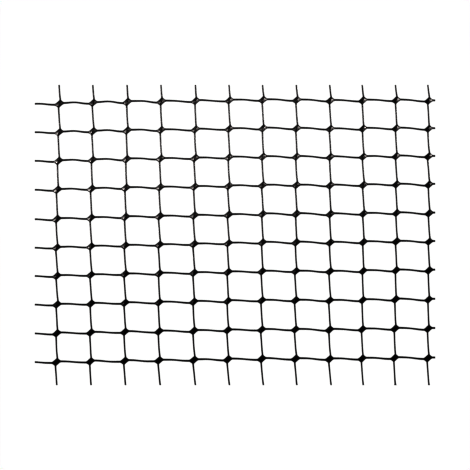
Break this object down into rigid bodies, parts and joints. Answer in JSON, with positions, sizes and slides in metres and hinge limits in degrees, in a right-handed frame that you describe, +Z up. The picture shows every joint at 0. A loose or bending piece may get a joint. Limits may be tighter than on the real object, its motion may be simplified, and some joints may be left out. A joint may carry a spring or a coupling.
{
  "type": "poultry netting",
  "caption": "Straight-cut piece of black extruded plastic netting lying flat: rectangular meshes of thin drawn strands between thick, slightly skewed joints, with cut strand ends all round.",
  "frame": {"origin": "middle of the sheet's cut outline, on the surface the sheet lies on", "axes": "+X along the cross strands, the sheet's longer side; +Y along the upright strands, up in the picture; +Z up out of the face"},
  "size_m": [0.2374, 0.178, 0.002],
  "materials": {
    "netting": "semi-gloss, as extruded and drawn"
  },
  "bodies": {
    "root": {"netting": "netting"}
  },
  "joints": []
}
